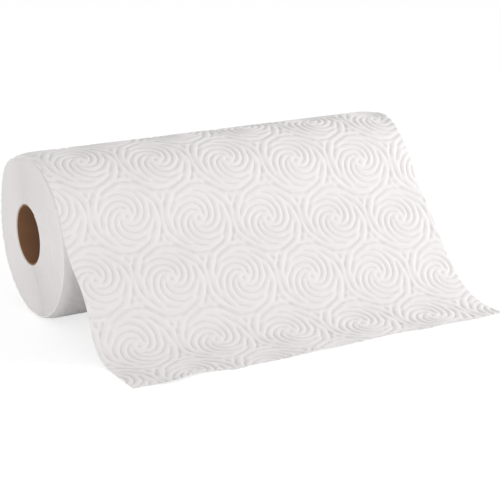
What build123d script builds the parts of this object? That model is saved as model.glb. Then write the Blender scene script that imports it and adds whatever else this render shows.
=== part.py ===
# A roll of paper towels lying on its side, with its first sheet drawn off the front and laid on the table.
# The roll lies along X, its loose sheet comes forward along -Y, and the table is the plane Z = 0.
# The origin is on the table, under the centre of the whole outline.
import os
from math import cos, degrees, radians, sin, sqrt

from build123d import *

# Driving dimensions, in millimetres and degrees
web_width = 279.4  # across the web, which is the length of the roll
roll_radius = 56.7
core_bore_radius = 19.8
core_wall = 0.9
sheet_thickness = 0.6  # two plies, embossed
sheet_length = 279.4  # along the web, from one line of perforation to the next
rest_flat = 20.0  # width of the flat that the roll's own weight presses on the table
slack_shift = 6.2  # how far the core sits behind the middle of the loosened roll
leave_angle = 22.0  # where the loose sheet leaves the roll, above the level of its axis
front_reach = 154.0  # from the axis forward to the free edge of the loose sheet

# How the loose sheet falls, seen end on, along each edge of the web. A point is a share of the run from
# where the sheet leaves the roll to its free edge, and a share of the height that is still left to fall.
# It drops, bellies out, drops again and flares. After the last point it lies flat on the table.
left_fall = [(0.115, 0.73), (0.267, 0.55), (0.374, 0.35), (0.462, 0.115), (0.70, 0.0)]
right_fall = [(0.144, 0.755), (0.296, 0.515), (0.443, 0.28), (0.624, 0.09), (0.88, 0.0)]
fall_bands = 24  # straight-sided bands that follow the fall from the roll to the table

# The turns show on the ends as one spiral groove that runs out from the core
groove_turns = 6
groove_width = 0.5
groove_depth = 0.8
groove_margin = 2.0  # paper left between the groove and the core, and between it and the outside

# A line of perforation is a row of slits through one sheet, with ties of paper between them
slit_length = 6.0
slit_width = 0.4
slit_tie = 2.0

axis_height = sqrt(roll_radius**2 - (rest_flat / 2) ** 2)
axis_y = (front_reach - roll_radius) / 2
core_radius = core_bore_radius + core_wall
core_y = axis_y + slack_shift
free_edge_y = axis_y - front_reach
under_radius = roll_radius - sheet_thickness
end_x = web_width / 2


def roll_point(radius, angle):
    """A point in the end view, at an angle above the level of the axis, measured from the front."""
    return Vector(axis_y - radius * cos(radians(angle)), axis_height + radius * sin(radians(angle)))


def fall_curve(fall):
    """The underside of the loose sheet in the end view, from the roll to where it meets the table."""
    start = roll_point(under_radius, leave_angle)
    leave_way = Vector(-sin(radians(leave_angle)), -cos(radians(leave_angle)))
    run, drop = start.X - free_edge_y, start.Y
    points = [Vector(start.X - run * along, drop * left) for along, left in fall]
    return Spline(start, *points, tangents=[leave_way, Vector(-1, 0)])


def loose_length(fall):
    """How much of the web is off the roll, along one edge."""
    curve = fall_curve(fall)
    return curve.length + (curve @ 1).X - free_edge_y


def web_section(fall):
    """The web seen end on: the roll's outline, stepped by one sheet where the loose sheet leaves it."""
    curve = fall_curve(fall)
    steps = [step / fall_bands for step in range(fall_bands + 1)]
    ways = [curve % step for step in steps]
    under = [curve @ step for step in steps]
    over = [point + sheet_thickness * Vector(way.Y, -way.X) for point, way in zip(under, ways)]
    flat_back, flat_front = axis_y + rest_flat / 2, axis_y - rest_flat / 2
    under_roll = roll_point(roll_radius - sheet_thickness / 2, leave_angle / 2 - 45)
    pieces = [
        ThreePointArc(over[0], roll_point(roll_radius, 150), (flat_back, 0)),
        Line((flat_back, 0), (flat_front, 0)),
        ThreePointArc((flat_front, 0), under_roll, under[0]),
        Polyline(*under, (free_edge_y, 0), (free_edge_y, sheet_thickness), *reversed(over)),
    ]
    return Wire([edge for piece in pieces for edge in piece.edges()])


def end_view(x):
    """The plane of an end view at x, with Y to the right and Z up."""
    return Plane(origin=(x, 0, 0), x_dir=(0, 1, 0), z_dir=(1, 0, 0))


def turn_groove():
    """The spiral groove of one end, as half turns whose centres all lie on the level of the axis.

    The loosened roll is looser in front than behind, so the turns stand wider apart in front.
    """
    front_start = slack_shift - core_radius - groove_margin
    back_start = slack_shift + core_radius + groove_margin
    outside = roll_radius - groove_margin
    halves = 2 * groove_turns

    def crossing(step):
        """Where the groove crosses the level of the axis after so many half turns."""
        share = step / halves
        if step % 2:
            return back_start + (outside - back_start) * share
        return front_start + (-outside - front_start) * share

    groove = Sketch()
    for step in range(halves):
        here, there = crossing(step), crossing(step + 1)
        radius, centre = abs(there - here) / 2, axis_y + (here + there) / 2
        ring = Circle(radius + groove_width / 2) - Circle(radius - groove_width / 2)
        side = Align.MAX if step % 2 else Align.MIN
        half_plane = Rectangle(4 * radius, 2 * radius, align=(Align.CENTER, side))
        groove += Pos(centre, axis_height) * (ring & half_plane)
    return groove


def perforations():
    """The slits of each line of perforation that lies on the outside of the roll."""
    loose = (loose_length(left_fall) + loose_length(right_fall)) / 2
    pitch = slit_length + slit_tie
    count = int((web_width - slit_tie) / pitch)
    on_foot = (Align.CENTER, Align.CENTER, Align.MIN)
    slits = []
    wound = sheet_length - loose
    while wound < radians(360) * roll_radius:
        angle = leave_angle + degrees(wound / roll_radius)
        foot = roll_point(under_radius, angle)
        away = Vector(0, -cos(radians(angle)), sin(radians(angle)))
        seat = Plane(origin=(0, foot.X, foot.Y), x_dir=(1, 0, 0), z_dir=away)
        row = [seat * place for place in GridLocations(pitch, 0, count, 1)]
        slits += [place * Box(slit_length, slit_width, 2 * sheet_thickness, align=on_foot) for place in row]
        wound += sheet_length
    return slits


def towel_web():
    ends = ((-end_x, left_fall), (end_x, right_fall))
    web = Solid.make_loft([end_view(x).location * web_section(fall) for x, fall in ends], ruled=True)
    web -= extrude(end_view(-end_x) * Pos(core_y, axis_height) * Circle(core_radius), web_width)
    groove = turn_groove()
    web -= extrude(end_view(-end_x) * groove, groove_depth)
    web -= extrude(end_view(end_x) * groove, -groove_depth)
    return web - perforations()


def cardboard_core():
    ring = Circle(core_radius) - Circle(core_bore_radius)
    return extrude(end_view(-end_x) * Pos(core_y, axis_height) * ring, web_width)


os.makedirs("parts", exist_ok=True)
for name, make in (("towel_web", towel_web), ("cardboard_core", cardboard_core)):
    shape = make()
    print(name, "solids", len(shape.solids()), "volume", round(shape.volume))
    export_step(shape, f"parts/{name}.step")
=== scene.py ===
# %% [markdown]
# A roll of paper towels lies on its side on a table, with its first sheet drawn off the front and laid
# down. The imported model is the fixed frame: two solids, the wound paper and the cardboard core, that say
# where everything is. This script dresses them. The paper is one long web, so every piece of it is bent by
# the same few functions, and every rib of its emboss comes from the same formula.

# %% Load the frame
import math

import bpy
import numpy as np
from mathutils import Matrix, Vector


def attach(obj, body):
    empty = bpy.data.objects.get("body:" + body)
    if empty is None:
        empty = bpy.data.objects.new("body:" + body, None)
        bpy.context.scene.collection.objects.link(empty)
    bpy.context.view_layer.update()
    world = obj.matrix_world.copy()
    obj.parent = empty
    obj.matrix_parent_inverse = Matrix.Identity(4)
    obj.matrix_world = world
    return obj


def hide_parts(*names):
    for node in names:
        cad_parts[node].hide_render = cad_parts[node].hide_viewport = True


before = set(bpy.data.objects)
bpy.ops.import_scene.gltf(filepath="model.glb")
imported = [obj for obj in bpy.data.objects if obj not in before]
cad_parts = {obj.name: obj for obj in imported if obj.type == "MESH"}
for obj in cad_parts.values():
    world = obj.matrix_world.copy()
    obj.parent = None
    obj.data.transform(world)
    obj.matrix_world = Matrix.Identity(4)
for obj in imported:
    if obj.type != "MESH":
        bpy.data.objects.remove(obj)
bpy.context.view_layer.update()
print("frame nodes", sorted(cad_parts))

# %% [markdown]
# The camera comes first, because every look is judged through it. It stands well back with a long lens, to
# the left of the roll and a little above it, so the end with the core shows as a narrow ellipse and the
# sheet comes towards the viewer. An object seen from the direction `back` is framed by turning the camera's
# -Z against it. The standard view transform shows a colour as it is written, which near-white paper needs.

# %% Camera
CAMERA_SIDE = math.radians(30.31)  # round to the left, from straight in front
CAMERA_RISE = math.radians(16.93)
CAMERA_PLACE = (-0.4964, -0.8533, 0.3387)
CAMERA_LENS = 106.85

camera = bpy.data.objects.new("camera", bpy.data.cameras.new("camera"))
bpy.context.scene.collection.objects.link(camera)
bpy.context.scene.camera = camera
camera.data.sensor_width = 36
camera.data.lens = CAMERA_LENS
camera.location = CAMERA_PLACE
back = Vector((
    -math.sin(CAMERA_SIDE) * math.cos(CAMERA_RISE),
    -math.cos(CAMERA_SIDE) * math.cos(CAMERA_RISE),
    math.sin(CAMERA_RISE),
))
camera.rotation_mode = "QUATERNION"
camera.rotation_quaternion = (-back).to_track_quat("-Z", "Y")
bpy.context.scene.view_settings.view_transform = "Standard"
print("camera looks along", [round(v, 3) for v in -back])

# %% [markdown]
# These are the sizes of the solids, in metres. The roll lies along X, the loose sheet comes forward along
# -Y, and the table is Z = 0. An angle on the roll is measured above the level of its axis, from the front,
# and goes on counting as the web winds inwards: over the top, down the back, under, and up the front again.

# %% Sizes of the roll
TURN = 2 * math.pi
WEB_WIDTH = 0.2794
ROLL_RADIUS = 0.0567
CORE_BORE = 0.0198
CORE_WALL = 0.0009
SHEET_THICKNESS = 0.0006
SHEET_LENGTH = 0.2794
REST_FLAT = 0.020
SLACK_SHIFT = 0.0062
LEAVE_ANGLE = math.radians(22)
FRONT_REACH = 0.154
SLIT_PITCH = 0.008
TIE_WIDTH = 0.002

END_X = WEB_WIDTH / 2
AXIS_HEIGHT = math.sqrt(ROLL_RADIUS**2 - (REST_FLAT / 2) ** 2)
AXIS_Y = (FRONT_REACH - ROLL_RADIUS) / 2
CORE_RADIUS = CORE_BORE + CORE_WALL
CORE_Y = AXIS_Y + SLACK_SHIFT
FREE_EDGE_Y = AXIS_Y - FRONT_REACH
print("axis at", round(AXIS_Y, 5), round(AXIS_HEIGHT, 5), "core at", round(CORE_Y, 5))

# %% [markdown]
# Seen end on, the web is a spiral whose turns lie one sheet thickness apart. The paper of a turn is a
# little thinner than that, so there is air between the turns. The roll has loosened, so its turns hang
# further apart in front than behind, and each turn's centre sits a little further back than the one outside
# it. One function gives a point of that spiral, for the sheets and for the wound turns alike.

# %% The spiral of the web
PAPER = 0.00055  # thickness of the web where it is wound
LAST_TURN = (ROLL_RADIUS - CORE_RADIUS - PAPER) / SHEET_THICKNESS
BED_TURN = (math.radians(270) - LEAVE_ANGLE) / TURN  # where the outermost turn touches the table


def wound_point(angle, depth):
    """The end view, Y and Z, of a point of the wound web, depth below the web's outside."""
    turns = (angle - LEAVE_ANGLE) / TURN
    radius = ROLL_RADIUS - SHEET_THICKNESS * turns - depth
    centre = AXIS_Y + SLACK_SHIFT * turns / LAST_TURN
    y, z = centre - radius * np.cos(angle), AXIS_HEIGHT + radius * np.sin(angle)
    return y, np.maximum(z, depth)


print("turns", round(LAST_TURN, 2), "lowest point", wound_point(math.radians(270), 0.0))

# %% [markdown]
# The loose sheet leaves the roll along a tangent, drops, bellies out, drops again and flares onto the
# table. It flares sooner at its left edge than at its right. Each edge is one smooth curve through a few
# points, and every line between them is straight. The points are the solids' own: a share of the run
# forward, and a share of the height left. The curve is the cubic that passes through them with no jump in
# its bend.

# %% The fall of the loose sheet
LEFT_FALL = [(0.115, 0.73), (0.267, 0.55), (0.374, 0.35), (0.462, 0.115), (0.70, 0.0)]
RIGHT_FALL = [(0.144, 0.755), (0.296, 0.515), (0.443, 0.28), (0.624, 0.09), (0.88, 0.0)]
FALL_SAMPLES = 400


def smooth_through(points, first_way, last_way):
    """Many points along the smooth curve through the given ones, with its direction given at both ends."""
    points = np.array(points)
    gaps = np.linalg.norm(np.diff(points, axis=0), axis=1)[:, None]
    slopes = np.diff(points, axis=0) / gaps
    count = len(points)
    system, wanted = np.eye(count), np.zeros((count, 2))
    wanted[0], wanted[-1] = first_way, last_way
    for i in range(1, count - 1):
        before, after = gaps[i - 1, 0], gaps[i, 0]
        system[i, i - 1 : i + 2] = after, 2 * (before + after), before
        wanted[i] = 3 * (after * slopes[i - 1] + before * slopes[i])
    ways = np.linalg.solve(system, wanted)
    share = np.linspace(0, 1, FALL_SAMPLES, endpoint=False)[:, None]
    made = []
    for i in range(count - 1):
        rise = share * share * (3 - 2 * share)
        run_in, run_out = share * (1 - share) ** 2, share * share * (share - 1)
        bend = gaps[i] * (run_in * ways[i] + run_out * ways[i + 1])
        made.append(points[i] * (1 - rise) + points[i + 1] * rise + bend)
    return np.vstack([*made, points[-1:]])


def fall_line(fall):
    """The underside of the loose sheet in the end view, evenly spaced from its free edge to the roll."""
    start = np.array([
        AXIS_Y - (ROLL_RADIUS - SHEET_THICKNESS) * math.cos(LEAVE_ANGLE),
        AXIS_HEIGHT + (ROLL_RADIUS - SHEET_THICKNESS) * math.sin(LEAVE_ANGLE),
    ])
    run, drop = start[0] - FREE_EDGE_Y, start[1]
    points = [start] + [(start[0] - run * along, drop * left) for along, left in fall]
    first_way = (-math.sin(LEAVE_ANGLE), -math.cos(LEAVE_ANGLE))
    line = np.vstack([smooth_through(points, first_way, (-1, 0)), (FREE_EDGE_Y, 0)])[::-1]
    steps = np.r_[0, np.cumsum(np.linalg.norm(np.diff(line, axis=0), axis=1))]
    even = np.linspace(0, steps[-1], FALL_SAMPLES)
    return np.column_stack([np.interp(even, steps, line[:, k]) for k in (0, 1)]), steps[-1]


LEFT_LINE, left_length = fall_line(LEFT_FALL)
RIGHT_LINE, right_length = fall_line(RIGHT_FALL)
LOOSE = (left_length + right_length) / 2
print("loose web", round(left_length, 4), "at the left,", round(right_length, 4), "at the right")

# %% [markdown]
# A point of the web is named by where it is across (X) and how far along it is from the free edge. Up to
# the roll it lies on the fall, and from there on it is wound. Real paper is not a ruled surface: the free
# edge is a little uneven and curls up in three places, and the ends of the roll are soft, pressed in where
# they were knocked and flared where they came loose. These are small smooth bumps, each a place, a width
# and a height.

# %% From the web to its place
EDGE_REACHES = [
    (0.003, 0.012, -0.0015), (0.025, 0.008, 0.0015), (0.033, 0.011, 0.0027), (0.048, 0.012, -0.0025),
    (0.071, 0.006, 0.0020), (0.110, 0.035, 0.0020), (0.142, 0.012, 0.0018), (0.162, 0.012, 0.0008),
    (0.216, 0.010, 0.0020), (0.240, 0.025, 0.0030), (0.268, 0.025, 0.0028),
]
EDGE_LIFTS = [(0.034, 0.014, 0.0024), (0.135, 0.016, 0.0015), (0.236, 0.020, 0.0012)]
EDGE_RUN = 0.045  # the unevenness of the free edge fades out over this much of the web
LIFT_RUN = 0.013
END_PRESSES = (0.0016, 0.0008)  # how far the left and the right end of the roll are pressed in all round
END_FLARES = [(138, 19, 0.0038), (72, 16, 0.0029)]  # a flare of each: angle, width in degrees, and height
GAPE = (45, 26, 0.0021)  # at the left end the first sheet lifts by this height, and the turns under it sink
RIM_WIDTH = 0.008
PRESS_RUN = 0.02  # the press at the ends fades out over this much of the loose sheet
RIM_DEPTH = 0.015  # the turns below this depth are not pressed in


def bumps(across, places):
    """The sum of smooth bumps, each a place, a width and a height."""
    return sum(height * np.exp(-(((across - place) / width) ** 2)) for place, width, height in places)


def swell(angle, place, width, height, exponent=np.exp):
    """A smooth bump round the roll, whose place and width are in degrees."""
    off = (angle - math.radians(place)) / math.radians(width)
    return exponent(-(off * off)) * height


def rim_drop(x, angle, covered):
    """How far a point near an end of the roll is pressed in. It may be covered by the first sheet."""
    left, right = (press - swell(angle, *flare) for press, flare in zip(END_PRESSES, END_FLARES))
    left = left + np.where(covered, 1, -1) * swell(angle, *GAPE)
    near_left = np.clip(1 - (x + END_X) / RIM_WIDTH, 0, 1) ** 2
    near_right = np.clip(1 - (END_X - x) / RIM_WIDTH, 0, 1) ** 2
    return left * near_left + right * near_right


def loose_point(x, along, depth):
    """A point of the loose sheet, depth below its upper side."""
    share = np.clip(along / LOOSE, 0, 1) * (FALL_SAMPLES - 1)
    low = np.minimum(share.astype(int), FALL_SAMPLES - 2)
    part, right = (share - low)[..., None], ((x + END_X) / WEB_WIDTH)[..., None]
    here = (LEFT_LINE[low] * (1 - part) + LEFT_LINE[low + 1] * part) * (1 - right)
    here += (RIGHT_LINE[low] * (1 - part) + RIGHT_LINE[low + 1] * part) * right
    way = (LEFT_LINE[low + 1] - LEFT_LINE[low]) * (1 - right)
    way += (RIGHT_LINE[low + 1] - RIGHT_LINE[low]) * right
    way /= np.linalg.norm(way, axis=-1, keepdims=True)
    height = SHEET_THICKNESS - depth
    y, z = here[..., 0] - way[..., 1] * height, here[..., 1] + way[..., 0] * height
    across = x + END_X
    y -= bumps(across, EDGE_REACHES) * np.clip(1 - along / EDGE_RUN, 0, 1) ** 2
    z += bumps(across, EDGE_LIFTS) * np.clip(1 - along / LIFT_RUN, 0, 1) ** 2
    return y + np.minimum(along, 0), z


def web_point(x, along, depth):
    """The place of a point of the web, as an array of X, Y and Z."""
    angle = LEAVE_ANGLE + np.maximum(along - LOOSE, 0) / ROLL_RADIUS
    drop = rim_drop(x, angle % TURN, along > SHEET_LENGTH) * np.clip(1 + (along - LOOSE) / PRESS_RUN, 0, 1)
    wound_y, wound_z = wound_point(angle, depth + drop)
    loose_y, loose_z = loose_point(x, along, depth + drop)
    loose = along < LOOSE
    return np.stack([x, np.where(loose, loose_y, wound_y), np.where(loose, loose_z, wound_z)], axis=-1)


for along in (0.0, LOOSE / 2, LOOSE, SHEET_LENGTH):
    print("web at", round(along, 4), web_point(np.array(0.0), np.array(along), 0.0).round(4))

# %% [markdown]
# Node trees are easier to read as sums than as boxes. A `Wire` is one socket: an expression on wires adds
# the Math nodes that work it out, and `node` makes any other kind. Geometry trees and shader trees share
# the Math node, so one formula written this way can both shape a mesh and shade it.

# %% Node trees as sums


class Wire:
    """A node's output that can be used in sums."""

    def __init__(self, tree, socket):
        self.tree, self.socket = tree, socket

    def node(self, kind, settings=None, sockets=None, output=0):
        """Adds a node, sets it up, fills its sockets with values or wires, and gives one output's wire."""
        made = self.tree.nodes.new(kind)
        for name, value in (settings or {}).items():
            setattr(made, name, value)
        for name, value in (sockets or {}).items():
            if isinstance(value, Wire):
                self.tree.links.new(value.socket, made.inputs[name])
            else:
                made.inputs[name].default_value = value
        return Wire(self.tree, made.outputs[output])

    def other(self, output):
        """The wire of another output of the same node."""
        return Wire(self.tree, self.socket.node.outputs[output])

    def math(self, operation, *values):
        sockets = {place: value for place, value in enumerate((self, *values))}
        return self.node("ShaderNodeMath", {"operation": operation}, sockets)

    def __add__(self, value):
        return self.math("ADD", value)

    __radd__ = __add__

    def __mul__(self, value):
        return self.math("MULTIPLY", value)

    __rmul__ = __mul__

    def __neg__(self):
        return self * -1

    def __sub__(self, value):
        return self.math("SUBTRACT", value)

    def __rsub__(self, value):
        return -self + value

    def __rtruediv__(self, value):
        return self ** -1 * value

    def __truediv__(self, value):
        return self.math("DIVIDE", value)

    def __pow__(self, value):
        return self.math("POWER", value)

    def between(self, low, high):
        """0 below low, 1 above high, and smooth in between."""
        span = {"interpolation_type": "SMOOTHSTEP"}
        return self.node("ShaderNodeMapRange", span, {"Value": self, "From Min": low, "From Max": high})


def geometry_tree(name, inputs):
    """A geometry tree with named inputs, given as the wires of its input node, and its output node."""
    tree = bpy.data.node_groups.new(name, "GeometryNodeTree")
    tree.interface.new_socket("Geometry", in_out="INPUT", socket_type="NodeSocketGeometry")
    tree.interface.new_socket("Geometry", in_out="OUTPUT", socket_type="NodeSocketGeometry")
    for label, kind in inputs.items():
        tree.interface.new_socket(label, in_out="INPUT", socket_type="NodeSocket" + kind)
    start = tree.nodes.new("NodeGroupInput")
    end = tree.nodes.new("NodeGroupOutput")
    return tree, {s.name: Wire(tree, s) for s in start.outputs if s.name}, end


def end_tree(tree, end, geometry, material):
    """Ends a geometry tree with real meshes in one material, because the export drops instances."""
    real = geometry.node("GeometryNodeRealizeInstances", None, {"Geometry": geometry})
    dressed = real.node("GeometryNodeSetMaterial", None, {"Geometry": real, "Material": material})
    tree.links.new(dressed.socket, end.inputs["Geometry"])


def run_tree(thing, tree, values):
    """Runs a geometry tree on an object with its inputs set, and makes the result its own plain mesh."""
    modifier = thing.modifiers.new("nodes", "NODES")
    modifier.node_group = tree
    for socket in tree.interface.items_tree:
        if socket.in_out == "INPUT" and socket.name in values:
            modifier[socket.identifier] = values[socket.name]
    bpy.context.view_layer.update()
    graph = bpy.context.evaluated_depsgraph_get()
    result = bpy.data.meshes.new_from_object(thing.evaluated_get(graph), depsgraph=graph)
    thing.modifiers.remove(modifier)
    thing.data = result
    result.name = thing.name
    return thing


def new_piece(name, mesh=None):
    """An object at the origin, unturned and unscaled, whose place is in its mesh."""
    thing = bpy.data.objects.new(name, mesh or bpy.data.meshes.new(name))
    bpy.context.scene.collection.objects.link(thing)
    return thing


def triangles(thing):
    return sum(len(face.vertices) - 2 for face in thing.data.polygons)


print("helpers ready")

# %% [markdown]
# The two plies of a paper towel are pressed together between steel rolls, which leave puffed ribs with
# grooves between them. Here the ribs are whorls, whose centres stand about 52 mm apart on a lattice of
# triangles that is turned a little on the web. Each whorl has one small ring as its eye, six arms that wind
# out of it, and round them ribs that wind back the other way, which the arms fork to meet. A whorl is a
# wave whose phase grows with the distance from the centre and with the turn round it. Seen as arrows that
# turn with their phases, the mean of two waves is the mean of their arrows. Drawn out to an even length, it
# gives ribs of one height, with forks where the waves don't match.
#
# The formula needs only the four lattice points round a point. Each gives the wave of its own whorl.
# Weights that fall off with the distance make the nearest one count, and where two are as near their arrows
# are mixed the same way, so that neighbours run into each other through forks and no cell has an edge.

# %% The emboss as a formula
ROW_STEP = (0.0514, -0.0083)  # from one centre to the next in its row: across, and along from the free edge
ROW_RISE = (0.0168, -0.0477)  # from one row to the row in front of it
WHORL_CENTRE = (0.0457, 0.1374)
CELL = 0.0517  # from centre to centre
MERGE = 0.002  # about how far the ribs of two neighbours run into each other
EYE_PITCH = 0.0062  # from the hollow in the middle of the eye to the groove round it
EYE = (0.004, 0.007)  # the eye gives way to the arms between these distances from the centre
ARMS, ARM_PITCH = 6, 0.0051  # the pitch is measured straight out from the centre
BACK_ARMS, BACK_PITCH, BACK_PHASE = 4, 0.0058, 1.3  # the same, and the start, of those that wind back
BACK = (0.012, 0.027)  # the arms give way to the ribs that wind back between these distances
UNEVEN = 0.2  # 0 makes all ribs of one height, and more than 0 lets them sink softly towards a fork
PRESSED_FROM = (0.30, 0.41)  # between these distances from the free edge the emboss grows shallow
PRESSED_FLAT = 0.85  # the share of it that is lost there


def rib_wave(across, along):
    """The emboss at a point of the web: -1 in the middle of a groove, and 1 on the crest of a rib."""
    area = ROW_STEP[0] * ROW_RISE[1] - ROW_STEP[1] * ROW_RISE[0]
    x, y = across - WHORL_CENTRE[0], along - WHORL_CENTRE[1]
    in_row = (x * (ROW_RISE[1] / area) - y * (ROW_RISE[0] / area)).math("FRACT")
    rows = (y * (ROW_STEP[0] / area) - x * (ROW_STEP[1] / area)).math("FRACT")
    near = []
    for i, j in ((0, 0), (0, 1), (1, 0), (1, 1)):
        x = (in_row - i) * ROW_STEP[0] + (rows - j) * ROW_RISE[0]
        y = (in_row - i) * ROW_STEP[1] + (rows - j) * ROW_RISE[1]
        near.append((x, y, x * x + y * y))
    nearest = near[0][2]
    for _, _, square in near[1:]:
        nearest = nearest.math("MINIMUM", square)
    arrow = {"COSINE": 0, "SINE": 0}
    for x, y, square in near:
        weight = ((nearest - square) / (2 * CELL * MERGE)).math("EXPONENT")
        out, turned = square.math("SQRT"), y.math("ARCTAN2", x)
        arms = out * (TURN / ARM_PITCH) - turned * ARMS
        winding_back = (out - CELL / 2) * (TURN / BACK_PITCH) + turned * BACK_ARMS - BACK_PHASE
        share = out.between(*BACK)
        for part, so_far in arrow.items():
            first, second = arms.math(part), winding_back.math(part)
            arrow[part] = (first + (second - first) * share) * weight + so_far
    level, way = arrow.values()
    ribs = level / (level * level + way * way + UNEVEN).math("SQRT")
    out = nearest.math("SQRT")
    eye = -(out * (TURN / EYE_PITCH)).math("COSINE")
    return eye + (ribs - eye) * out.between(*EYE)


def relief_left(along):
    """The share of the emboss that is left where the web is wound, and the turn outside it presses on it."""
    return 1 - along.between(*PRESSED_FROM) * PRESSED_FLAT


# %% [markdown]
# A paper material needs very little colour and a lot of surface. The ribs and grooves are real geometry, so
# the material only sharpens the groove lines a little, with a bump and with a darker colour in them that is
# mostly painted shade, as in a recess, and partly the denser paper where the plies are joined. It also adds
# what is too fine to model: the crepe, which is fine wrinkles across the web left by the blade that scrapes
# the paper off its drying drum, and loose fibres. The web's own map (across, along, in metres) keeps all of
# it in place on the paper. The cut ends of the roll have no such map, so their fibres follow the object.

# %% Paper
PAPER_COLOUR = (0.86, 0.838, 0.832, 1)
# the darker colour: painted shade in the grooves of the sheets, partly also their denser joined paper, and
# random darker tone on the cut ends
GROOVE_SHADE_AND_DARK_TONE = (0.75, 0.725, 0.72, 1)
CREPE_SCALE, FIBRE_SCALE, CLOUD_SCALE = 2600.0, 1100.0, 45.0  # of the noises: about their spots in a metre
CREPE_STRETCH = 0.35  # a wrinkle of the crepe is about three times as long across the web as along it
# the grooves below this level get painted shade in their colour
GROOVE_FROM = 0.35  # a groove is tinted where the wave lies below minus this
CUT_FIBRE_SCALE, CUT_CLOUD_SCALE = 1500.0, 30.0


def new_material(name):
    """A material, its shader, and a wire to write the rest of its tree from."""
    material = bpy.data.materials.new(name)
    material.use_nodes = True
    shader = material.node_tree.nodes["Principled BSDF"]
    return material, shader, Wire(material.node_tree, shader.outputs[0])


def join(wire, shader, name):
    wire.tree.links.new(wire.socket, shader.inputs[name])


def mix_colours(factor, first, second):
    sockets = {0: factor, 6: first, 7: second}
    return factor.node("ShaderNodeMix", {"data_type": "RGBA"}, sockets, output=2)


def noise(vector, scale, detail=3.0, rough=0.6):
    sockets = {"Vector": vector, "Scale": scale, "Detail": detail, "Roughness": rough}
    return vector.node("ShaderNodeTexNoise", None, sockets)


def bump(height, strength, distance, under=None):
    """A wire of normals that follow a height, over the normals of an earlier bump."""
    sockets = {"Height": height, "Strength": strength, "Distance": distance}
    if under:
        sockets["Normal"] = under
    return height.node("ShaderNodeBump", None, sockets)


def paper_shader(name, roughness=0.92):
    material, shader, start = new_material(name)
    shader.inputs["Roughness"].default_value = roughness
    shader.inputs["Specular IOR Level"].default_value = 0.2
    shader.inputs["Sheen Weight"].default_value = 0.12
    shader.inputs["Sheen Roughness"].default_value = 0.6
    return material, shader, start


towel_paper, shader, start = paper_shader("towel_paper")
web_map = start.node("ShaderNodeUVMap", {"uv_map": "web"})
split = web_map.node("ShaderNodeSeparateXYZ", None, {0: web_map})
across, along = split, split.other("Y")
wave = rib_wave(across, along)
groove = (-wave).between(GROOVE_FROM, 1.0) * relief_left(along)
stretch = {0: web_map, 1: (CREPE_STRETCH, 1, 1)}
crepe = noise(web_map.node("ShaderNodeVectorMath", {"operation": "MULTIPLY"}, stretch), CREPE_SCALE)
fibres = noise(web_map, FIBRE_SCALE, detail=4.0, rough=0.7)
cloud = noise(web_map, CLOUD_SCALE, detail=2.0)
# the groove term paints shade into the grooves, partly also the denser joined paper; cloud and fibres are
# random tone
tone = groove * 0.55 + cloud * 0.35 + fibres * 0.25 - 0.2
join(mix_colours(tone, PAPER_COLOUR, GROOVE_SHADE_AND_DARK_TONE), shader, "Base Color")
fine = bump(crepe, 0.35, 0.0002, bump(fibres, 0.35, 0.0003))
join(bump(1 - groove, 1.0, 0.00012, fine), shader, "Normal")

cut_paper, shader, start = paper_shader("cut_paper")
place = start.node("ShaderNodeTexCoord", output="Object")
fuzz = noise(place, CUT_FIBRE_SCALE, detail=4.0, rough=0.7)
cloud = noise(place, CUT_CLOUD_SCALE, detail=2.0)
join(mix_colours(cloud * 0.5 + fuzz * 0.3, PAPER_COLOUR, GROOVE_SHADE_AND_DARK_TONE), shader, "Base Color")
join(bump(fuzz, 0.5, 0.0003), shader, "Normal")
print("paper tree has", len(towel_paper.node_tree.nodes), "nodes")

# %% [markdown]
# The board of the core is kraft paper made from old boxes: brown, dull, with darker and lighter fibres. Its
# two plies run at a slant, so their faint bands of tone follow the same screw line as the seam. A point's
# turn round the core comes from its height and depth, and a wave of turn and length together gives the
# slanting band.

# %% Core board
BOARD_COLOUR = (0.34, 0.178, 0.094, 1)
BOARD_DARK = (0.20, 0.098, 0.048, 1)
PLY_SLANT = 54  # radians round the core for each metre along it, as the seam has
FLECK_SCALE, STAIN_SCALE = 1300.0, 90.0

core_board, shader, start = new_material("core_board")
shader.inputs["Roughness"].default_value = 0.88
shader.inputs["Specular IOR Level"].default_value = 0.25
place = start.node("ShaderNodeTexCoord", output="Object")
split = place.node("ShaderNodeSeparateXYZ", None, {0: place})
turned = (split.other("Z") - AXIS_HEIGHT).math("ARCTAN2", split.other("Y") - CORE_Y)
slant = (turned + split * PLY_SLANT).math("SINE") * 0.5 + 0.5
flecks = noise(place, FLECK_SCALE, detail=4.0, rough=0.75)
cloud = noise(place, STAIN_SCALE, detail=2.0)
tone = slant * 0.25 + flecks * 0.55 + cloud * 0.35 - 0.2
join(mix_colours(tone, BOARD_COLOUR, BOARD_DARK), shader, "Base Color")
join(bump(flecks, 0.4, 0.0002), shader, "Normal")

# %% [markdown]
# Each sheet is a closed shell as thin as the web. Its outer side is a fine grid, more than five cells to a
# rib of the emboss, and its inner side is coarser, because nobody sees it close. The two sides share a rim
# of triangles, so there is no open edge. The shell is made smooth, with three attributes that say where
# each point is on the web and which way is out of it, and the emboss follows in a node tree.

# %% The shell of a sheet
GRID_STEP = 0.00092
COARSER = 4  # an inner cell is as long as this many outer ones
PERFORATION_GAP = 0.0003
EPSILON = 1e-5  # the step that measures which way the web runs at a point


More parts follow.
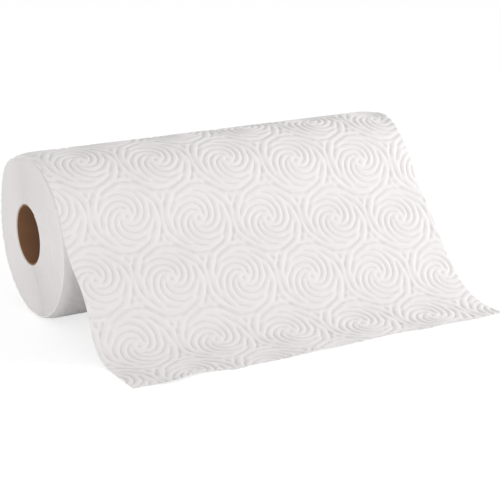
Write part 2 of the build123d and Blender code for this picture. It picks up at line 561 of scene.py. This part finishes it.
def sheet_shell(name, first, last, edge=None):
    """A closed shell of the web between two distances from the free edge."""
    rows, columns = (COARSER * round(size / GRID_STEP / COARSER) for size in (last - first, WEB_WIDTH))
    x, along = np.meshgrid(np.linspace(-END_X, END_X, columns + 1), np.linspace(first, last, rows + 1))
    if edge is not None:
        along = along - edge(x) * np.clip(1 - (along - first) / (2 * GRID_STEP), 0, 1)
    sides = [(x, along, 0.0), (x[::COARSER, ::COARSER], along[::COARSER, ::COARSER], SHEET_THICKNESS)]
    points, outward, marks = [], [], []
    for side_x, side_along, depth in sides:
        here = web_point(side_x, side_along, depth)
        way_x = web_point(side_x + EPSILON, side_along, depth) - here
        way_along = web_point(side_x, side_along + EPSILON, depth) - here
        normal = np.cross(way_x, way_along)
        points.append(here.reshape(-1, 3))
        outward.append((normal / np.linalg.norm(normal, axis=-1, keepdims=True)).reshape(-1, 3))
        depths = np.full(side_x.size, depth)
        marks.append(np.column_stack([side_x.ravel() + END_X, side_along.ravel(), depths]))
    outer = np.arange(x.size).reshape(x.shape)
    inner = x.size + np.arange(sides[1][0].size).reshape(sides[1][0].shape)

    def quads(grid):
        return np.stack([grid[:-1, :-1], grid[:-1, 1:], grid[1:, 1:], grid[1:, :-1]], -1).reshape(-1, 4)

    def border(grid):
        return np.r_[grid[0, :], grid[1:, -1], grid[-1, -2::-1], grid[-2::-1, 0]]

    fine, coarse = border(outer), border(inner)
    rim = []
    for i, (here, there) in enumerate(zip(coarse, coarse[1:])):
        run = fine[COARSER * i : COARSER * (i + 1) + 1]
        half = COARSER // 2
        rim += [(b, a, here) for a, b in zip(run[:half], run[1:])] + [(run[half], here, there)]
        rim += [(b, a, there) for a, b in zip(run[half:], run[half + 1 :])]
    mesh = bpy.data.meshes.new(name)
    faces = quads(outer).tolist() + quads(inner)[:, ::-1].tolist() + [tuple(map(int, face)) for face in rim]
    mesh.from_pydata(np.vstack(points).tolist(), [], faces)
    marks = np.vstack(marks)
    for label, column in (("across", 0), ("along", 1), ("depth", 2)):
        mesh.attributes.new(label, "FLOAT", "POINT").data.foreach_set("value", marks[:, column].astype("f"))
    mesh.attributes.new("outward", "FLOAT_VECTOR", "POINT").data.foreach_set(
        "vector", np.vstack(outward).astype("f").ravel()
    )
    corners = np.zeros(len(mesh.loops), "i")
    mesh.loops.foreach_get("vertex_index", corners)
    mesh.uv_layers.new(name="web").data.foreach_set("uv", marks[corners, :2].astype("f").ravel())
    return new_piece(name, mesh)


# %% [markdown]
# The emboss is a rule, so geometry nodes make it. The tree reads the web's attributes, works out the wave
# with the very function that the material used, and moves each point along its outward way. A rib of the
# outer side puffs out and a groove sinks in, and the inner side rises a little in the grooves, where the
# plies are joined. Where the roll lies on the table the ribs are pressed flat, so nothing ends below it.

# %% The emboss as a node tree
RELIEF = 0.00095  # from the bottom of a groove to the crest of a rib
PUFF = 0.45  # the share of the relief by which a crest stands out of the plain sheet
GROOVE_SHAPE = 1.8  # above 1, the grooves are narrower than the ribs
emboss_tree, given, end = geometry_tree(
    "emboss", {"Relief": "Float", "Inner relief": "Float", "Material": "Material"}
)
start = given["Geometry"]


def read_attribute(name, kind="FLOAT"):
    return start.node("GeometryNodeInputNamedAttribute", {"data_type": kind}, {"Name": name})


along = read_attribute("along")
wave = rib_wave(read_attribute("across"), along)
inside = read_attribute("depth").math("GREATER_THAN", SHEET_THICKNESS / 2)
sink = ((1 - wave) * 0.5) ** GROOVE_SHAPE
travel = sink * inside * given["Inner relief"] + (PUFF - sink) * (1 - inside) * given["Relief"]
offset = start.node(
    "ShaderNodeVectorMath", {"operation": "SCALE"},
    {0: read_attribute("outward", "FLOAT_VECTOR"), "Scale": travel * relief_left(along)},
)
moved = start.node("GeometryNodeSetPosition", None, {"Geometry": start, "Offset": offset})
split = start.node("ShaderNodeSeparateXYZ", None, {0: start.node("GeometryNodeInputPosition")})
sunk = split.other("Z").math("MINIMUM", 0.0)
back_up = start.node("ShaderNodeCombineXYZ", None, {"Z": -sunk})
moved = start.node("GeometryNodeSetPosition", None, {"Geometry": moved, "Offset": back_up})
end_tree(emboss_tree, end, moved, given["Material"])
print("emboss tree has", len(emboss_tree.nodes), "nodes")

# %% [markdown]
# Two sheets show. The first is the loose one, from its torn edge on the table, up over the crest of the
# roll, to the perforation at the back. The second goes down the back, under, and up the front. It dips
# under the line where the first sheet leaves the roll, and ends out of sight.

# %% The two sheets
OUT_OF_SIGHT = math.radians(12)  # how far the second sheet goes on under the first
SECOND_END = LOOSE + ROLL_RADIUS * (TURN + OUT_OF_SIGHT)
SHARP = math.radians(50)  # a bend above this is a sharp edge, and one below it is smooth
RAGGED = 0.00012
TEARS = [(2300, 0), (3700, 1), (910, 2)]  # the waves of the torn edge: radians in a metre, and the start


def torn_edge(x):
    """How far the torn edge stands out, at x: a little raggedness."""
    return RAGGED * sum(np.sin(x * rate + begin) for rate, begin in TEARS)


half_gap = PERFORATION_GAP / 2
sheets = {
    "first_sheet": sheet_shell("first_sheet", 0, SHEET_LENGTH - half_gap, torn_edge),
    "second_sheet": sheet_shell("second_sheet", SHEET_LENGTH + half_gap, SECOND_END),
}
for name, sheet in sheets.items():
    run_tree(sheet, emboss_tree, {"Relief": RELIEF, "Inner relief": RELIEF / 20, "Material": towel_paper})
    sheet.data.shade_smooth()
    sheet.data.set_sharp_from_angle(angle=SHARP)
    print(name, "triangles", triangles(sheet), "lowest", round(min(v.co.z for v in sheet.data.vertices), 5))

# %% [markdown]
# Between two sheets is a line of perforation: slits a few millimetres long, with ties of paper between
# them. The slit is the gap that was left between the shells. The ties repeat, so a node tree makes them: it
# puts one small bridge on each point of a row, turned to lie along the web. The points come from the same
# function as the sheets. The torn edge on the table has the same row, where only the broken halves of the
# ties are left, so there the bridge gets a swollen waist in place of a narrow one, and half of it is inside
# the sheet.

# %% The ties of the perforation
TIES = 2 * int((WEB_WIDTH - TIE_WIDTH) / SLIT_PITCH / 2) + 1
TIE_LENGTH = 0.0012
TIE_DEPTH = SHEET_THICKNESS * 0.6  # how deep in the sheet a tie lies
TIE_WAIST, NIB_WAIST = 0.35, -0.4  # the share by which the middle is narrower, or wider where it is below 0

tie_tree, given, end = geometry_tree("row of ties", {
    "Tie width": "Float", "Tie length": "Float", "Thickness": "Float", "Waist": "Float", "Tilt": "Float",
    "Material": "Material",
})
start = given["Geometry"]
size = start.node("ShaderNodeCombineXYZ", None, {
    "X": given["Tie width"], "Y": given["Tie length"], "Z": given["Thickness"],
})
bridge = start.node(
    "GeometryNodeMeshCube", None, {"Size": size, "Vertices X": 3, "Vertices Y": 5, "Vertices Z": 2}
)
split = start.node("ShaderNodeSeparateXYZ", None, {0: start.node("GeometryNodeInputPosition")})
x, y, z = split, split.other("Y"), split.other("Z")
from_middle = y / given["Tie length"] * 2
narrow = 1 - (1 - from_middle * from_middle) * given["Waist"]
spot = start.node("ShaderNodeCombineXYZ", None, {"X": x * narrow, "Y": y, "Z": z})
bridge = start.node("GeometryNodeSetPosition", None, {"Geometry": bridge, "Position": spot})
tilt = start.node("ShaderNodeCombineXYZ", None, {"X": given["Tilt"]})
row = start.node(
    "GeometryNodeInstanceOnPoints", None, {"Points": start, "Instance": bridge, "Rotation": tilt}
)
end_tree(tie_tree, end, row, given["Material"])


def tie_row(name, along, waist):
    """A row of ties across the web, at a distance from the free edge."""
    x = (np.arange(TIES) - TIES // 2) * SLIT_PITCH
    points = web_point(x, np.full(TIES, along), np.full(TIES, TIE_DEPTH))
    tilt = 0.0 if along < LOOSE else math.pi / 2 - LEAVE_ANGLE - (along - LOOSE) / ROLL_RADIUS
    mesh = bpy.data.meshes.new(name)
    mesh.from_pydata(points.tolist(), [], [])
    row = run_tree(new_piece(name, mesh), tie_tree, {
        "Tie width": TIE_WIDTH, "Tie length": TIE_LENGTH, "Thickness": SHEET_THICKNESS / 2,
        "Waist": waist, "Tilt": tilt, "Material": cut_paper,
    })
    print(name, "triangles", triangles(row), "tilt", round(math.degrees(tilt), 1))
    return row


perforation = tie_row("perforation", SHEET_LENGTH, TIE_WAIST)
torn_nibs = tie_row("torn_nibs", 0.0, NIB_WAIST)

# %% [markdown]
# Inside them is the rest of the roll: one strip of paper, wound nearly sixty times round the core. It is
# made as it is in life. A node tree lays out a spiral path, gives it the cross-section of the web with
# rounded edges, and sweeps one along the other. The long sides of the section get a few more points near
# their ends, so that the tree can press in the ends of the outer turns and leave the rest straight. It also
# lets neighbouring turns stand a few tenths of a millimetre apart at the ends, as they do on a roll that
# has been handled.

# %% The wound turns
STEPS_PER_TURN = 96
RIM_CUTS = 4  # points added along the width of the strip, half of them at each end
FIRST_TURN = 1 + OUT_OF_SIGHT / TURN
EDGE_ROUNDING = 0.00012
STAGGER = 0.0008  # noise moves the edge of a turn in or out by up to about half of this
WANDER_SCALE, TURN_WANDER_SCALE = 18, 900  # how fast that changes over an end, and from turn to turn
WOUND_SHARP = math.radians(60)
ABSORB_TURNS = 15  # the flat that the table presses into the roll has faded after this many turns
PRESS = ROLL_RADIUS - SHEET_THICKNESS * BED_TURN - AXIS_HEIGHT  # how far it presses the outermost turn

wind_tree, given, end = geometry_tree("wound turns", {
    "First turn": "Float", "Last turn": "Float", "Steps": "Int", "Pitch": "Float", "Web width": "Float",
    "Thickness": "Float", "Edge rounding": "Float", "Slack": "Float", "Stagger": "Float",
    "Material": "Material",
})
start = given["Geometry"]
line = start.node("GeometryNodeCurvePrimitiveLine")
path = start.node("GeometryNodeResampleCurve", None, {"Curve": line, "Count": given["Steps"]})
index = start.node("GeometryNodeInputIndex")
turns = index / (given["Steps"] - 1) * (given["Last turn"] - given["First turn"]) + given["First turn"]
angle = turns * TURN + LEAVE_ANGLE
radius = ROLL_RADIUS - given["Pitch"] * turns - given["Thickness"] * 0.5
centre = given["Slack"] * turns / given["Last turn"] + AXIS_Y
under = turns - BED_TURN
bed = under * given["Pitch"] + given["Thickness"] * 0.5 - (under / ABSORB_TURNS).math("MINIMUM", 1.0) * PRESS
y = centre - radius * angle.math("COSINE")
z = (radius * angle.math("SINE") + AXIS_HEIGHT).math("MAXIMUM", bed)
spot = start.node("ShaderNodeCombineXYZ", None, {"Y": y, "Z": z})
path = start.node("GeometryNodeSetPosition", None, {"Geometry": path, "Position": spot})
profile = start.node(
    "GeometryNodeCurvePrimitiveQuadrilateral", None,
    {"Width": given["Web width"], "Height": given["Thickness"]},
)
rounded = start.node(
    "GeometryNodeFilletCurve", None, {"Curve": profile, "Radius": given["Edge rounding"]}
)
position = start.node("GeometryNodeInputPosition")
long_side = index.math("MODULO", 4.0).math("COMPARE", 1.0, 0.5)
cut = start.node("GeometryNodeSubdivideCurve", None, {"Curve": rounded, "Cuts": long_side * RIM_CUTS})
x = start.node("ShaderNodeSeparateXYZ", None, {0: position})
from_end = 1 - x.math("ABSOLUTE") / given["Web width"] * 2
is_cut = from_end.math("GREATER_THAN", 0.1)
at_rim = x.math("SIGN") * (given["Web width"] * 0.5 - from_end * (RIM_WIDTH * (RIM_CUTS + 1) / RIM_CUTS))
shift = start.node("ShaderNodeCombineXYZ", None, {"X": (at_rim - x) * is_cut})
section = start.node("GeometryNodeSetPosition", None, {"Geometry": cut, "Offset": shift})
strip = start.node(
    "GeometryNodeCurveToMesh", None, {"Curve": path, "Profile Curve": section, "Fill Caps": True}
)

split = start.node("ShaderNodeSeparateXYZ", None, {0: position})
x, y, z = split, split.other("Y"), split.other("Z")
out_y, out_z = y - AXIS_Y, z - AXIS_HEIGHT
reach = (out_y * out_y + out_z * out_z).math("SQRT")
outer = ((reach - (ROLL_RADIUS - RIM_DEPTH)) / RIM_DEPTH).math("MAXIMUM", 0.0) ** 2
turned = out_z.math("ARCTAN2", -out_y).math("FLOORED_MODULO", TURN)
left, right = (
    press - swell(turned, *flare, lambda wire: wire.math("EXPONENT"))
    for press, flare in zip(END_PRESSES, END_FLARES)
)
left = left + swell(turned, *GAPE, lambda wire: wire.math("EXPONENT"))
left = (1 - (x + END_X) / RIM_WIDTH).math("MAXIMUM", 0.0) ** 2 * left
right = (1 - (END_X - x) / RIM_WIDTH).math("MAXIMUM", 0.0) ** 2 * right
press = outer * (left + right) / reach
on_end = {"X": x.math("SIGN"), "Y": y * WANDER_SCALE, "Z": z * WANDER_SCALE}
wander = noise(start.node("ShaderNodeCombineXYZ", None, on_end), 1.0, 2.0)
on_turn = {"X": reach * TURN_WANDER_SCALE}
turn_wander = noise(start.node("ShaderNodeCombineXYZ", None, on_turn), 1.0, 1.0)
stagger = (wander + turn_wander - 1) * given["Stagger"] * x.math("SIGN")
shift = start.node(
    "ShaderNodeCombineXYZ", None, {"X": stagger, "Y": -(out_y * press), "Z": -(out_z * press)}
)
strip = start.node("GeometryNodeSetPosition", None, {"Geometry": strip, "Offset": shift})
end_tree(wind_tree, end, strip, given["Material"])

wound_turns = run_tree(new_piece("wound_turns"), wind_tree, {
    "First turn": FIRST_TURN, "Last turn": LAST_TURN,
    "Steps": round((LAST_TURN - FIRST_TURN) * STEPS_PER_TURN), "Pitch": SHEET_THICKNESS,
    "Web width": WEB_WIDTH, "Thickness": PAPER, "Edge rounding": EDGE_ROUNDING, "Slack": SLACK_SHIFT,
    "Stagger": STAGGER, "Material": cut_paper,
})
wound_turns.data.shade_smooth()
wound_turns.data.set_sharp_from_angle(angle=WOUND_SHARP)
print("wound_turns triangles", triangles(wound_turns))

# %% [markdown]
# The core is a tube of brown board. It is wound from two plies that run round it like a screw thread, so
# the butted edges of the inner ply show as a long slanting seam inside. A node tree sweeps a rounded strip
# round a circle, which gives a tube whose points stand in straight columns. Turning every point about the
# axis, by an angle that grows with its distance along, leaves the tube round and lays the columns along a
# screw line. One column of the inside then sinks by the thickness of a ply, and that is the seam. The tube
# is cut a little shorter than the paper, so its ends lie just inside.

# %% The cardboard core
PLY_TURNS = 2.4  # how often the seam goes round in the length of the core
SET_BACK = 0.0007  # the board ends this far inside the paper
SEAM_DEPTH = 0.0004
CORE_COLUMNS, CORE_ROWS = 96, 90

core_tree, given, end = geometry_tree("cardboard core", {
    "Radius": "Float", "Wall": "Float", "Length": "Float", "Seam depth": "Float", "Seam turns": "Float",
    "Columns": "Int", "Rows": "Int", "Place": "Vector", "Material": "Material",
})
start = given["Geometry"]
middle = given["Radius"] - given["Wall"] * 0.5
ring = start.node("GeometryNodeCurvePrimitiveCircle", None, {
    "Resolution": given["Columns"], "Radius": middle,
})
wall = start.node("GeometryNodeCurvePrimitiveQuadrilateral", None, {
    "Width": given["Wall"], "Height": given["Length"],
})
long_side = start.node("GeometryNodeInputIndex").math("MODULO", 2.0)
wall = start.node("GeometryNodeSubdivideCurve", None, {"Curve": wall, "Cuts": long_side * given["Rows"]})
tube = start.node("GeometryNodeCurveToMesh", None, {"Curve": ring, "Profile Curve": wall})
split = start.node("ShaderNodeSeparateXYZ", None, {0: start.node("GeometryNodeInputPosition")})
x, y, z = split, split.other("Y"), split.other("Z")
radius = (x * x + y * y).math("SQRT")
turned = y.math("ARCTAN2", x)
on_seam = turned.math("ABSOLUTE").math("LESS_THAN", 0.5 * TURN / given["Columns"])
inside = radius.math("LESS_THAN", middle)
radius = radius + on_seam * inside * given["Seam depth"]
turned = turned + z / given["Length"] * given["Seam turns"] * TURN
spot = start.node("ShaderNodeCombineXYZ", None, {
    "X": radius * turned.math("COSINE"), "Y": radius * turned.math("SINE"), "Z": z,
})
tube = start.node("GeometryNodeSetPosition", None, {"Geometry": tube, "Position": spot})
laid = start.node("GeometryNodeTransform", None, {
    "Geometry": tube, "Rotation": (0, math.pi / 2, 0), "Translation": given["Place"],
})
end_tree(core_tree, end, laid, given["Material"])

core_tube = run_tree(new_piece("core_tube"), core_tree, {
    "Radius": CORE_RADIUS, "Wall": CORE_WALL, "Length": WEB_WIDTH - 2 * SET_BACK, "Seam depth": SEAM_DEPTH,
    "Seam turns": PLY_TURNS, "Columns": CORE_COLUMNS, "Rows": CORE_ROWS,
    "Place": (0, CORE_Y, AXIS_HEIGHT), "Material": core_board,
})
core_tube.data.shade_smooth()
core_tube.data.set_sharp_from_angle(angle=SHARP)
core_box = [[side(v.co[k] for v in core_tube.data.vertices) for k in range(3)] for side in (min, max)]
print("core_tube triangles", triangles(core_tube))
print("core_tube box", [[round(v, 4) for v in corner] for corner in core_box])

# %% [markdown]
# The floor is a wide pale sheet with no horizon in view. The photograph's ground is pure white, so for the
# camera, and for rays that a gloss or a glass sends on, the floor glows a little over its own colour. What
# the object shades on it still shows. Other rays find plain pale paint, so the floor throws no extra light.

# %% Floor and light
FLOOR_HALF = 6.0
FLOOR_GLOW = 0.72
FLOOR_PAINT = (0.93, 0.93, 0.93, 1)  # for the rays that light the object
FLOOR_UNDER_GLOW = (0.4, 0.4, 0.4, 1)  # for the viewer's rays, with the glow on top
LAMP_TARGET = (0, 0, 0.04)
WORLD_LIGHT = 0.67


def seen_by_viewer(wire):
    """1 on rays from the camera, and on those that a gloss or a glass sends on, and 0 on all others."""
    rays = wire.node("ShaderNodeLightPath", output="Is Camera Ray")
    camera_or_gloss = rays.math("MAXIMUM", rays.other("Is Glossy Ray"))
    return camera_or_gloss.math("MAXIMUM", rays.other("Is Transmission Ray"))


floor_material, shader, start = new_material("studio_floor")
seen = seen_by_viewer(start)
join(mix_colours(seen, FLOOR_PAINT, FLOOR_UNDER_GLOW), shader, "Base Color")
join(mix_colours(seen, (0, 0, 0, 1), (1, 1, 1, 1)), shader, "Emission Color")
shader.inputs["Roughness"].default_value = 1.0
shader.inputs["Specular IOR Level"].default_value = 0.0
shader.inputs["Emission Strength"].default_value = FLOOR_GLOW
mesh = bpy.data.meshes.new("studio_floor")
corners = [(-FLOOR_HALF, -FLOOR_HALF, 0), (FLOOR_HALF, -FLOOR_HALF, 0)]
corners += [(FLOOR_HALF, FLOOR_HALF, 0), (-FLOOR_HALF, FLOOR_HALF, 0)]
mesh.from_pydata(corners, [], [(0, 1, 2, 3)])
mesh.materials.append(floor_material)
floor = new_piece("studio_floor", mesh)

world = bpy.data.worlds.new("studio")
bpy.context.scene.world = world
world.use_nodes = True
sky = world.node_tree.nodes["Background"]
sky.inputs["Color"].default_value = (1, 1, 1, 1)
seen = seen_by_viewer(Wire(world.node_tree, sky.outputs[0]))
world.node_tree.links.new((seen * (1 - WORLD_LIGHT) + WORLD_LIGHT).socket, sky.inputs["Strength"])


def soft_lamp(name, place, size, power):
    lamp = bpy.data.objects.new(name, bpy.data.lights.new(name, "AREA"))
    bpy.context.scene.collection.objects.link(lamp)
    lamp.data.shape = "DISK"
    lamp.data.size = size
    lamp.data.energy = power
    lamp.location = place
    lamp.rotation_mode = "QUATERNION"
    lamp.rotation_quaternion = (Vector(LAMP_TARGET) - Vector(place)).to_track_quat("-Z", "Y")


soft_lamp("key", (0.82, -0.35, 0.36), 0.35, 4.3)
soft_lamp("left", (-1.38, -0.52, 0.12), 0.5, 6.2)

# %% [markdown]
# Every piece rides on the object's one body. The paper pieces stand for the paper solid, and the tube for
# the core, and those solids are hidden. A towel is as wide as the roll is long, and the length of the second
# sheet is worked out. The wound turns are one strip, many metres long.

# %% Join the pieces to the frame
paper_pieces = [*sheets.values(), wound_turns, perforation, torn_nibs]
for piece in paper_pieces:
    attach(piece, "root")
    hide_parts("towel_web")
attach(core_tube, "root")
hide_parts("cardboard_core")

second_length = SECOND_END - SHEET_LENGTH
